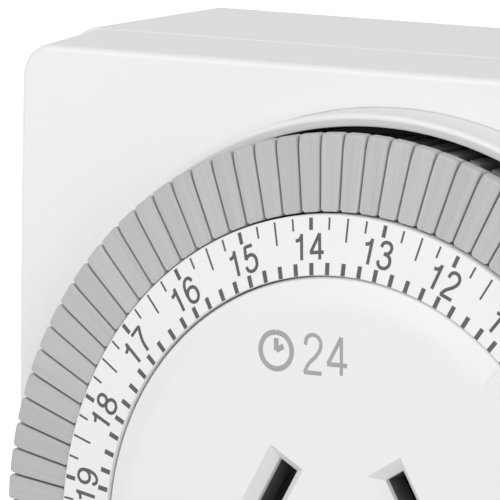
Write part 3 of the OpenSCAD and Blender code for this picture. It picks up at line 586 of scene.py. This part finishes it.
# %% Socket face
plate_low, rim_low = 35.1 * mm, 36.7 * mm
skirt_in, skirt_out, skirt_low = 17.15 * mm, 18.35 * mm, 34.2 * mm
tab_r, tab_low, tab_top, tab_span = 19.5 * mm, 37 * mm, face_top - 0.005 * mm, (13, 47)
tab_round, rim_round = 0.3 * mm, 0.6 * mm
socket_plate = lathe("socket_plate", [
    (0, plate_low, 0), (skirt_in, plate_low, 0), (skirt_in, skirt_low, 0), (skirt_out, skirt_low, 0),
    (skirt_out, rim_low, 0), (face_r, rim_low, 0), (face_r, face_edge, tab_round),
    (plateau_r, face_top, rim_round), (0, face_top, 0)])
join(socket_plate, lathe("tab", [
    (tab_r, tab_low, 0), (face_r, tab_low, 0), (face_r, tab_top, tab_round), (tab_r, tab_top, 0)],
    turn=tab_span, steps=24))
print("socket plate:", len(socket_plate.data.polygons), "faces before the slots")

# %% [markdown]
# Three slots take the pins of a plug, and each slot's mouth is a funnel with sloping sides that
# guides a pin in. The funnel is cut by a block whose outer face is larger than its inner one.
# Just behind each mouth the white wall ends and a black guide begins, which is why the slots
# look so dark. It is a rectangular tube in a pocket of the plate.

# %% Slots and guides
slot_t, slot_w, slot_mid = 1.95 * mm, 7.1 * mm, 36 * mm
mouth, depth = 0.85 * mm, 0.95 * mm        # how far a funnel widens on each side, and its depth
over = 0.05 * mm                           # how far the block that cuts it stands above the face
reach = mouth * (depth + over) / depth
guide_low, guide_high, guide_wall = plate_low, 37.3 * mm, 0.6 * mm
guide_size = (slot_t + 2 * guide_wall, guide_high - guide_low, slot_w + 2 * guide_wall)
pocket = (guide_size[0] + tiny, guide_size[1] + mm, guide_size[2] + tiny)
guides = []
for x, z, turn in pin_places:
    slot_at = (x * mm, -slot_mid, z * mm)
    guide = block("guide", guide_size, (x * mm, -(guide_low + guide_high) / 2, z * mm), turn)
    guides.append(cut(guide, block("slot", (slot_t, 8 * mm, slot_w), slot_at, turn)))
    funnel = block("funnel", (slot_t, depth + over, slot_w), (0, -(face_top - (depth - over) / 2), 0))
    edit(funnel)
    pick("FACE", lambda f: f.normal.y < -0.9)
    bpy.ops.transform.resize(value=(1 + 2 * reach / slot_t, 1, 1 + 2 * reach / slot_w))
    done()
    cut(socket_plate, place(funnel, x * mm, 0, z * mm, turn))
    cut(socket_plate, block("slot", (slot_t, 4 * mm, slot_w), slot_at, turn))
    cut(socket_plate, block("pocket", pocket, (x * mm, -(guide_low + guide_high - mm) / 2, z * mm), turn))
pin_guides = joined("pin_guides", guides)
print("socket plate:", len(socket_plate.data.polygons), "faces, guides:", len(pin_guides.data.polygons))

# %% [markdown]
# The lettering that such a face often carries is left off. A plain clock and the number of
# hours stand in its place, in the same grey print, with bolder strokes.

# %% Plain mark on the face
clock_r, clock_stroke, mark_stroke, mark_tall = 1.5, 0.5, 0.21, 3.1 * mm
clock_at = (-5.7 * mm, -plateau + 0.015 * mm, 16.4 * mm)
mark_at = (-1.0 * mm, -plateau + 0.052 * mm, 14.85 * mm)
round_turns = [math.radians(a) for a in range(0, 361, 30)]
ring = [(clock_r * math.sin(a), clock_r * math.cos(a)) for a in round_turns]
hands = [[(0, 1), (0, 0.5), (0, 0)], [(0, 0), (0.35, 0.2), (0.7, 0.4)]]
clock = pen("clock", [ring, *hands], clock_stroke)
clock.scale = (mm,) * 3
settle(clock)
place(clock, *clock_at)
bold_digits = {name: pen("bold_" + name, strokes[name], mark_stroke) for name in "24"}
mark_number = number("24", mark_tall, "mark_number", bold_digits)
place(mark_number, *mark_at)
face_mark = joined("face_mark", [clock, mark_number])
discard(*digits.values(), *bold_digits.values())
print("mark:", len(face_mark.data.polygons), "faces")

# %% [markdown]
# ## Small hard parts
# The override's button, the plug's pins and the screws already have the right shapes in the
# CAD model, but their edges are knife sharp, and no moulded or pressed edge is. A copy of each
# is merged into a closed mesh, its flat faces are joined, and its sharp edges are bevelled.

# %% Bevel copies of CAD shapes
def softened(name, nodes, width):
    """Copies these CAD nodes into one piece whose sharp edges are bevelled by a width."""
    twins = []
    for node in nodes:
        twin = bpy.data.objects.new(node + "_soft", frame["nodes"][node].data.copy())
        bpy.context.collection.objects.link(twin)
        twins.append(twin)
    piece = joined(name, twins)
    edit(piece)
    bpy.ops.mesh.select_all(action="SELECT")
    bpy.ops.mesh.remove_doubles(threshold=tiny)
    bpy.ops.mesh.dissolve_limited(angle_limit=math.radians(0.5))
    pick("EDGE", lambda e: len(e.link_faces) == 2 and e.calc_face_angle() > 0.6)
    bpy.ops.mesh.bevel(offset=width, segments=2, affect="EDGES")
    done()
    return piece


override_button = softened("override_button", ["override_slide"], 0.2 * mm)
plug_pins = softened("plug_pins", ["active_pin", "neutral_pin", "earth_pin"], 0.15 * mm)
sleeves = softened("sleeves", ["pin_sleeves"], 0.1 * mm)
case_screws = softened("case_screws", ["housing_screws"], 0.12 * mm)
for piece in (override_button, plug_pins, sleeves, case_screws):
    print(piece.name, len(piece.data.polygons), "faces")

# %% [markdown]
# ## Materials as expressions
# A material is a graph of shader nodes. To keep the recipes readable, a small class wraps one
# socket, so that sums and products of sockets can be written as plain arithmetic: each
# operator adds a Math node. Its reflected form lets a plain number stand on the left, as in
# 1 - mask. Every other kind of node comes from one method, which takes the node's type, the
# values or links of its inputs, and its settings, which are set first.

# %% Sockets that do arithmetic
class Wire:
    """One output socket of a material; arithmetic on it adds Math nodes."""

    def __init__(self, finish, socket):
        self.finish, self.socket = finish, socket

    def math(self, operation, *others):
        return self.finish.math(operation, self, *others)

    def __add__(self, other):
        return self.math("ADD", other)

    def __sub__(self, other):
        return self.math("SUBTRACT", other)

    def __rsub__(self, other):
        return self.finish.math("SUBTRACT", other, self)

    def __mul__(self, other):
        return self.math("MULTIPLY", other)

    def __truediv__(self, other):
        return self.math("DIVIDE", other)

    def __rtruediv__(self, other):
        return self.finish.math("DIVIDE", other, self)

    def __neg__(self):
        return self.math("MULTIPLY", -1)

    __radd__, __rmul__ = __add__, __mul__


print("wires ready")


# %% A finish and its nodes
class Finish:
    """The nodes of a material, or of the world, under construction."""

    def __init__(self, owner):
        owner.use_nodes = True
        self.owner, self.tree = owner, owner.node_tree
        self.tree.nodes.clear()

    def node(self, kind, inputs=None, out=0, **settings):
        """Adds a node, gives it its settings, then colours, values or links, and returns an output."""
        node = self.tree.nodes.new(kind)
        for key, value in settings.items():
            setattr(node, key, value)
        for key, value in (inputs or {}).items():
            if isinstance(value, Wire):
                self.tree.links.new(value.socket, node.inputs[key])
            elif isinstance(value, tuple):
                node.inputs[key].default_value = (*value, 1)
            else:
                node.inputs[key].default_value = value
        return Wire(self, node.outputs[out])

    def math(self, operation, *values):
        return self.node("ShaderNodeMath", dict(enumerate(values)), operation=operation)

    def point(self):
        """The place of the shaded point in its piece's own frame."""
        return self.node("ShaderNodeTexCoord", out="Object")

    def noise(self, scale, detail, at=None, roughness=0.5):
        values = {"Vector": at or self.point(), "Scale": scale, "Detail": detail, "Roughness": roughness}
        return self.node("ShaderNodeTexNoise", values, "Fac")

    def axes(self):
        split = self.node("ShaderNodeSeparateXYZ", {0: self.point()}).socket.node
        return [Wire(self, output) for output in split.outputs]

    def vector(self, x, y, z):
        return self.node("ShaderNodeCombineXYZ", {0: x, 1: y, 2: z})

    def mix(self, factor, low, high):
        """A colour between two colours, which are inputs 6 and 7 of this node."""
        return self.node("ShaderNodeMix", {"Factor": factor, 6: low, 7: high}, 2, data_type="RGBA")

    def bump(self, height):
        """A normal for a relief whose height is in millimetres."""
        return self.node("ShaderNodeBump", {"Height": height, "Strength": 1.0, "Distance": mm}, "Normal")

    def end(self, shader, kind="ShaderNodeOutputMaterial"):
        """Links a shader to the output that ends the graph."""
        self.tree.links.new(shader.socket, self.tree.nodes.new(kind).inputs["Surface"])
        return self.owner

    def shade(self, **inputs):
        """Ends the graph in a principled surface, whose inputs have _ for each space."""
        names = {key.replace("_", " "): value for key, value in inputs.items()}
        return self.end(self.node("ShaderNodeBsdfPrincipled", names))


def new_finish(name):
    return Finish(bpy.data.materials.new(name))


print("finishes ready")

# %% [markdown]
# ## Plastics
# Moulded plastic is one colour all through. What the eye reads as plastic is the fine grain of
# the mould in its gloss, a slight waviness that bends reflections, and a hardly visible change
# of tone. One recipe makes them all, with its colour, its gloss and the size of its grain.

# %% Plastic recipe
def plastic(name, colour, gloss, tone, grain, wave=0.0, shine=0.5):
    finish = new_finish(name)
    broad = finish.noise(90, 3)
    fine = finish.noise(2600, 2)
    darker = tuple(c * (1 - tone) for c in colour)
    lighter = tuple(min(1, c * (1 + tone)) for c in colour)
    shade = finish.mix(0.7 * broad + 0.3 * fine, darker, lighter)
    relief = grain * fine + wave * finish.noise(140, 1)
    rough = gloss + 0.08 * (broad - 0.5) + 0.05 * (fine - 0.5)
    return finish.shade(Base_Color=shade, Roughness=rough, Specular_IOR_Level=shine,
                        Normal=finish.bump(relief))


near_white = (0.81, 0.81, 0.805)
finishes = {
    "shell": plastic("shell_white", near_white, gloss=0.36, tone=0.012, grain=0.003, wave=0.004),
    "face": plastic("face_white", (0.79, 0.79, 0.785), gloss=0.4, tone=0.01, grain=0.002, wave=0.004,
                    shine=0.25),
    "ring": plastic("ring_white", near_white, gloss=0.42, tone=0.01, grain=0.002, shine=0.25),
    "inner_plastic": plastic("chassis_grey", (0.62, 0.62, 0.6), gloss=0.5, tone=0.05, grain=0.01),
    "carrier_plastic": plastic("carrier_black", (0.012, 0.012, 0.013), gloss=0.55, tone=0.2, grain=0.01),
    "gear_plastic": plastic("gear_ivory", (0.74, 0.69, 0.56), gloss=0.42, tone=0.05, grain=0.006),
    "sleeve": plastic("sleeve_black", (0.02, 0.02, 0.022), gloss=0.45, tone=0.2, grain=0.01),
    "guide": plastic("guide_black", (0.1, 0.1, 0.102), gloss=0.45, tone=0.2, grain=0.01),
    "override": plastic("override_red", (0.55, 0.03, 0.02), gloss=0.35, tone=0.08, grain=0.006),
    "lead": plastic("lead_blue", (0.03, 0.07, 0.3), gloss=0.4, tone=0.1, grain=0.01),
    "magnet": plastic("ferrite_grey", (0.06, 0.06, 0.065), gloss=0.6, tone=0.2, grain=0.02)}
print("plastics:", ", ".join(finishes))

# %% [markdown]
# ## The tappets' grey
# The tappets are moulded end to end, and the melt leaves faint streaks along each of them. The
# streaks follow the dial's radius, so the pattern is drawn in polar coordinates: an angle that
# is stretched a lot and a radius that is stretched a little. Each tappet's own tone differs
# slightly too, which comes from white noise on its number round the dial. Below the nose, deeper
# in the well, the grey is painted darker: this is painted shade, in place of the well's shade.

# %% Streaked grey
shade_from, shade_to = 33.4 * mm, 35.3 * mm  # heights between which the painted shade fades out


def streaked_grey():
    finish = new_finish("tappet_grey")
    x, y, z = finish.axes()
    radius = (x * x + z * z).math("SQRT")
    angle = z.math("ARCTAN2", x) * (180 / math.pi / pitch) - dial_turn / pitch
    number_round = (angle + 0.5).math("FLOOR")
    own = finish.node("ShaderNodeTexWhiteNoise", {"W": number_round + 0.31}, "Value", noise_dimensions="1D")
    streak = finish.noise(1.0, 3, finish.vector(angle * 9, radius * 120, y * 60), 0.6)
    wide = finish.noise(1.0, 1, finish.vector(angle * 3.2, radius * 40, 4.7))
    tone = 0.5 + 0.8 * (streak - 0.5) + 0.5 * (wide - 0.5) + 0.25 * (own - 0.5)
    unshaded = finish.mix(tone.math("MINIMUM", 1.0), (0.385, 0.385, 0.38), (0.53, 0.53, 0.525))
    # Painted shade: below the nose, towards the wall, the grey is darkened in place of the well's shade.
    above = (-y - shade_from) / (shade_to - shade_from)
    painted_shade = 1 - above.math("MAXIMUM", 0.0).math("MINIMUM", 1.0)
    relief = 0.02 * streak + 0.004 * finish.noise(2500, 2)
    # The dark grey in this mix is the colour of the painted shade.
    return finish.shade(Base_Color=finish.mix(painted_shade, unshaded, (0.2, 0.2, 0.195)),
                        Roughness=0.42 + 0.15 * (streak - 0.5), Normal=finish.bump(relief))


finishes["tappet"] = streaked_grey()
print("tappet grey made")

# %% [markdown]
# ## Print
# Printing ink lies in a thin layer. It is a little uneven, and its gloss is duller than the
# plastic below it. Two noises of different sizes vary its grey, and the finer one its gloss.

# %% Ink
def ink(name, colour):
    finish = new_finish(name)
    speckle = finish.noise(5200, 3)
    thick = finish.noise(700, 2)
    darker, lighter = (tuple(c * share for c in colour) for share in (0.8, 1.25))
    shade = finish.mix(0.6 * speckle + 0.4 * thick, darker, lighter)
    return finish.shade(Base_Color=shade, Roughness=0.55 + 0.2 * (speckle - 0.5))


dial_ink = ink("dial_ink", (0.075, 0.075, 0.08))
mark_ink = ink("mark_ink", (0.33, 0.33, 0.335))
print("inks made")

# %% [markdown]
# ## Metals
# Brass pins and straps are rolled and pressed, so they have fine lines along them and soft
# stains where hands and plugs have rubbed. One recipe makes every metal: a colour that varies
# a little between clean and stained, and a roughness that follows the lines. The two scales
# say how fast the pattern changes across the lines and along them, and the lines run along Y.

# %% Metal recipe
def metal(name, colour, gloss, tarnish, across=1200, along=75):
    finish = new_finish(name)
    x, y, z = finish.axes()
    brushed = finish.noise(1.0, 2, finish.vector(x * across, y * along, z * across), 0.6)
    stain = finish.noise(260, 4)
    shade = finish.mix(1.6 * (stain - 0.35) * (brushed + 0.4), colour, tarnish)
    rough = gloss + 0.18 * (brushed - 0.5) + 0.12 * (stain - 0.5)
    return finish.shade(Base_Color=shade, Metallic=1.0, Roughness=rough,
                        Normal=finish.bump(0.006 * brushed))


finishes.update({
    "brass": metal("pressed_brass", (0.78, 0.57, 0.25), gloss=0.3, tarnish=(0.6, 0.42, 0.18)),
    "bronze": metal("tinned_bronze", (0.6, 0.595, 0.58), gloss=0.34, tarnish=(0.42, 0.41, 0.39)),
    "contact": metal("silver_contact", (0.86, 0.85, 0.82), gloss=0.28, tarnish=(0.66, 0.64, 0.6)),
    "steel": metal("plated_steel", (0.66, 0.67, 0.69), gloss=0.32, tarnish=(0.5, 0.5, 0.52)),
    "coil": metal("coil_copper", (0.7, 0.33, 0.16), gloss=0.38, tarnish=(0.45, 0.18, 0.08),
                  across=8000, along=300)})
print("metals made; finishes:", len(finishes))

# %% [markdown]
# ## Finish every piece
# Each new piece stands for its CAD nodes, rides on the body that they ride on, and takes its
# finish. Smooth shading needs care: faces within 35 degrees of each other are blended, sharper
# edges stay crisp, and normals weighted by area keep the large flat faces flat. The CAD nodes
# that stay get the finish of their slot in the record.

# %% Dress the new pieces
def dress(piece, body, slot, *nodes, finish=None, smooth=35):
    """Shades a piece, gives it the finish of its slot, ties it to its body, hides its CAD nodes, and counts
    its triangles.
    """
    only(piece)
    bpy.ops.object.shade_smooth_by_angle(angle=math.radians(smooth))
    bpy.ops.object.modifier_add(type="WEIGHTED_NORMAL")
    piece.modifiers[-1].keep_sharp = True
    bpy.ops.object.modifier_apply(modifier=piece.modifiers[-1].name)
    piece.data.materials.clear()
    piece.data.materials.append(finish or finishes[slot])
    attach(piece, body)
    if nodes:
        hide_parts(*nodes)
    return sum(len(p.vertices) - 2 for p in piece.data.polygons)


triangles = {
    "front": dress(front_shell, "housing", "shell", "front_housing"),
    "rear": dress(rear_shell, "housing", "shell", "rear_housing"),
    "socket": dress(socket_plate, "housing", "face", "socket_face"),
    "guides": dress(pin_guides, "housing", "sleeve", "socket_face", finish=finishes["guide"]),
    "mark": dress(face_mark, "housing", "face", finish=mark_ink),
    "cone": dress(number_cone, "dial", "ring", "number_ring"),
    "ticks": dress(dial_ticks, "dial", "ring", finish=dial_ink),
    "numbers": dress(dial_numbers, "dial", "ring", finish=dial_ink),
    "button": dress(override_button, "override_slide", "override", "override_slide"),
    "pins": dress(plug_pins, "housing", "brass", "active_pin", "neutral_pin", "earth_pin"),
    "sleeves": dress(sleeves, "housing", "sleeve", "pin_sleeves"),
    "screws": dress(case_screws, "housing", "steel", "housing_screws")}
for hour, piece in keys.items():
    name = f"tappets_{hour:02d}"
    triangles[piece.name] = dress(piece, name, "tappet", name, smooth=40)
print("triangles:", triangles)

# %% Dress the CAD nodes that stay
slots = {part["node"]: part["material_slot"] for part in frame["record"]["subparts"]}
for name, node in frame["nodes"].items():
    node.data.materials.clear()
    node.data.materials.append(finishes[slots[name]])
print("CAD nodes dressed:", len(slots))

# %% [markdown]
# ## A plain studio
# The object stands on a pale floor in soft white light. Large lamps far from the object give
# soft shadows, and the lamps themselves aren't seen. The background is white because the world
# and the floor are white to the camera and to mirrors, and not because more light falls on the
# object. The floor still takes the object's shadow.

# %% Floor and world
bpy.ops.mesh.primitive_grid_add(x_subdivisions=4, y_subdivisions=4, size=6, location=(0, 0, -rear_h / 2))
floor = settle(bpy.context.object)
floor.name = "floor"


def seen_directly(finish):
    """1 for rays that come from the camera, a mirror or glass, else 0."""
    rays = finish.node("ShaderNodeLightPath").socket.node.outputs
    names = ("Is Camera Ray", "Is Glossy Ray", "Is Transmission Ray")
    camera, glossy, through = (Wire(finish, rays[name]) for name in names)
    return camera.math("MAXIMUM", glossy).math("MAXIMUM", through)


white = (1, 1, 1)
pale = new_finish("pale_floor")
mottled = pale.mix(pale.noise(40, 3), (0.86, 0.86, 0.86), (0.9, 0.9, 0.9))
matte = pale.node("ShaderNodeBsdfDiffuse", {"Color": mottled})
glow = pale.node("ShaderNodeEmission", {"Color": white, "Strength": 0.7 * seen_directly(pale)})
floor.data.materials.append(pale.end(pale.node("ShaderNodeAddShader", {0: matte, 1: glow})))

world = bpy.data.worlds.new("white_room")
bpy.context.scene.world = world
room = Finish(world)
ambient = room.node("ShaderNodeBackground", {"Color": white, "Strength": 0.45})
bright = room.node("ShaderNodeBackground", {"Color": white, "Strength": 1.0})
sky = room.node("ShaderNodeMixShader", {0: seen_directly(room), 1: ambient, 2: bright})
room.end(sky, "ShaderNodeOutputWorld")
print("floor at", round(-rear_h / 2 / mm, 2), "mm")

# %% Lamps
lamp_aim = Vector((0, -0.02, 0))


def lamp(name, at, size, watts):
    """A square soft lamp that faces the dial and isn't seen by the camera."""
    bpy.ops.object.light_add(type="AREA", location=at)
    light = bpy.context.object
    light.name = name
    light.data.size, light.data.energy = size, watts
    light.rotation_euler = (lamp_aim - Vector(at)).to_track_quat("-Z", "Y").to_euler()
    light.visible_camera = False


lamp("key", (-0.31, -0.85, 0.66), size=0.6, watts=4.65)
lamp("fill", (0.8, -0.8, 0.3), size=0.7, watts=4.2)

# %% [markdown]
# ## The camera
# The object is seen from its right and slightly from above, from far away through a long lens,
# and the view takes in the upper left part of the front. The camera's own axes are worked out
# from its two angles and a slight roll.

# %% Camera
azimuth, elevation, roll = math.radians(33.55), math.radians(7.72), math.radians(0.14)
aim, distance, lens = Vector((-9.38, -37.05, 24.11)) * mm, 708 * mm, 628.6
back = Vector((math.sin(azimuth), -math.cos(azimuth), math.tan(elevation))).normalized()
right = Vector((math.cos(azimuth), math.sin(azimuth), 0))
up = back.cross(right)
right, up = (math.cos(roll) * right + math.sin(roll) * up, math.cos(roll) * up - math.sin(roll) * right)
bpy.ops.object.camera_add()
camera = bpy.context.object
camera.name = "camera"
camera.matrix_world = Matrix((right, up, back)).transposed().to_4x4()
camera.location = aim + back * distance
camera.data.sensor_width, camera.data.lens = 36, lens
camera.data.clip_start, camera.data.clip_end = 0.01, 20
bpy.context.scene.camera = camera
bpy.context.scene.view_settings.view_transform = "Standard"
print("camera at", [round(c, 4) for c in camera.location])
